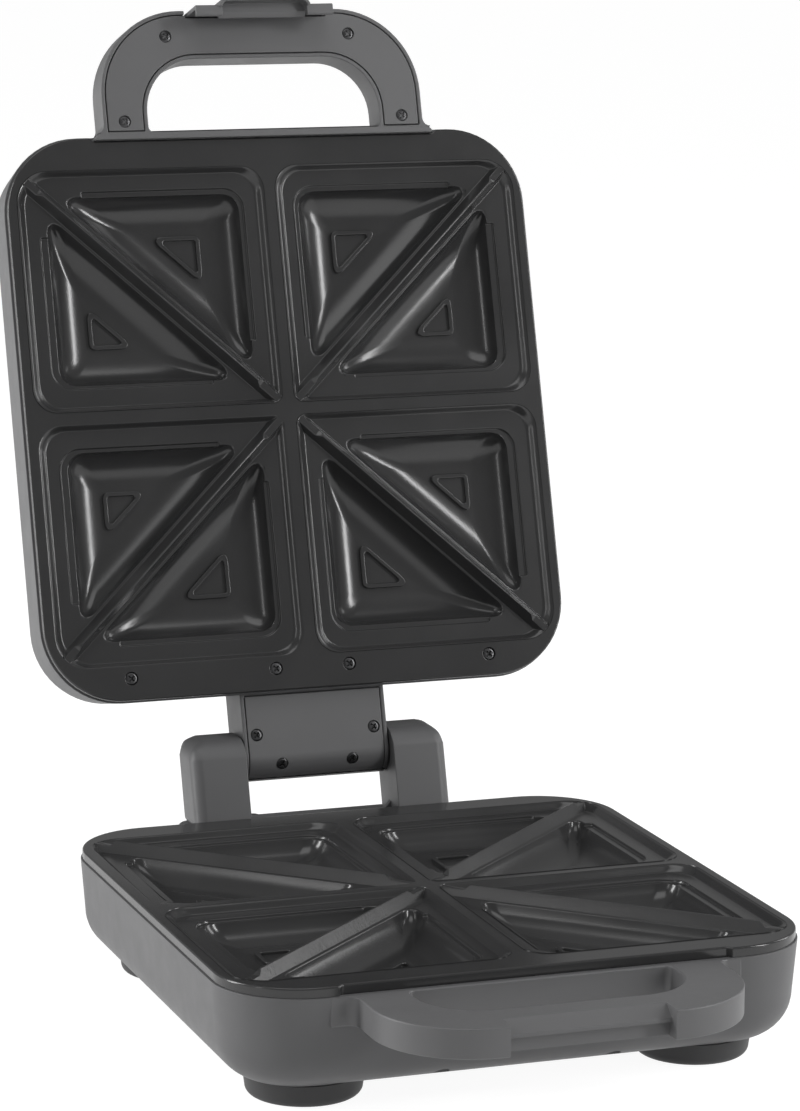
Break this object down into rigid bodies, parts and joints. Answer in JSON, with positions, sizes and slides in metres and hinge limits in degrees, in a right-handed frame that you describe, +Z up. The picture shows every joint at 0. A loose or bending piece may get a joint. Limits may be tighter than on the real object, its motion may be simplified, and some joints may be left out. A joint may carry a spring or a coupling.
{
  "type": "sandwich toaster",
  "caption": "Countertop sandwich toaster with a hinged lid, cast triangle-pocket plates, U-loop handles, a swinging latch and disc feet.",
  "frame": {"origin": "on the table, at the bottom centre of the whole toaster with its lid open as stored: between the feet, midway from the front of the base handle to the back of the open lid", "axes": "+Z up; +Y from the handles to the hinge; +X to the user's right"},
  "size_m": [0.2716, 0.4877, 0.451],
  "materials": {
    "housing": "satin dark grey moulded plastic",
    "handle": "satin mid-grey moulded plastic",
    "plate": "cast, with a black non-stick coating, semi-gloss",
    "screw": "zinc-plated steel, cross head",
    "bright_steel": "bright drawn steel",
    "reflector": "bright pressed sheet",
    "ceramic": "glazed ceramic",
    "nylon": "natural nylon",
    "foot": "matte dark grey rubber",
    "lens": "translucent red lens"
  },
  "bodies": {
    "base": {"lower_housing": "housing", "lower_plate": "plate", "lower_plate_screws": "screw", "lower_element": "bright_steel", "lower_reflector": "reflector", "thermal_cutout": "bright_steel", "terminal_block": "ceramic", "cord_gland": "foot", "foot_front_left": "foot", "foot_front_right": "foot", "foot_rear_left": "foot", "foot_rear_right": "foot", "foot_screws": "screw", "left_hinge_post": "housing", "right_hinge_post": "housing", "post_screws": "screw", "hinge_shaft": "bright_steel", "hinge_bushes": "nylon"},
    "lid": {"upper_housing": "housing", "upper_plate": "plate", "upper_plate_screws": "screw", "upper_element": "bright_steel", "upper_reflector": "reflector", "thermostat": "bright_steel", "power_lamp_lens": "lens", "ready_lamp_lens": "lens", "lamp_holder": "ceramic", "handle_cover": "handle", "handle_cover_screws": "screw", "hinge_arm": "housing", "hinge_arm_cover": "handle", "hinge_arm_screws": "screw", "latch_pin": "bright_steel", "latch_spring": "bright_steel"},
    "latch": {"latch": "handle"}
  },
  "joints": [
    {"name": "lid_hinge", "type": "hinge", "parent": "base", "child": "lid", "pos_m": [0, 0.12804, 0.0825], "axis": [1, 0, 0], "range_deg": [0, 107.15]},
    {"name": "latch_swing", "type": "hinge", "parent": "lid", "child": "latch", "pos_m": [0, 0.22185, 0.43397], "axis": [-1, 0, 0], "range_deg": [0, 25], "stiffness_Nm_per_rad": 0.03, "springref_deg": -17.19}
  ]
}
